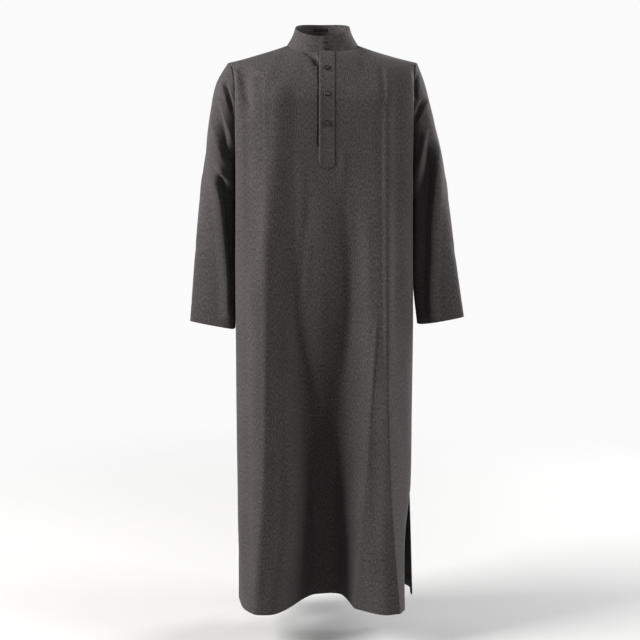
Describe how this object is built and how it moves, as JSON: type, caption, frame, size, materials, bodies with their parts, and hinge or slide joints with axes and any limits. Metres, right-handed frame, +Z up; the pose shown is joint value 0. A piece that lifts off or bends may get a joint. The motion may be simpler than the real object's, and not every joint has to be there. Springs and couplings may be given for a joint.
{
  "type": "thobe robe",
  "caption": "Long straight thobe robe with stand collar, buttoned half placket, long sleeves and side slits, held out as when worn, with no wearer.",
  "frame": {"origin": "middle of the neck base, level with the side neck points, where the wearer's neck and shoulders carry the robe", "axes": "+Z up, the front faces -Y, the wearer's left is +X"},
  "size_m": [0.6968, 0.3132, 1.4426],
  "materials": {
    "suiting": "matt heathered dark grey-brown suiting with a fine weave",
    "button": "satin dark resin with four holes",
    "label": "plain black woven tape"
  },
  "bodies": {
    "root": {"front": "suiting", "back": "suiting", "sleeve_right": "suiting", "sleeve_left": "suiting", "collar": "suiting", "placket": "suiting", "underlap": "suiting", "button_1": "button", "button_2": "button", "button_3": "button", "collar_button_1": "button", "collar_button_2": "button", "neck_label": "label"}
  },
  "joints": []
}
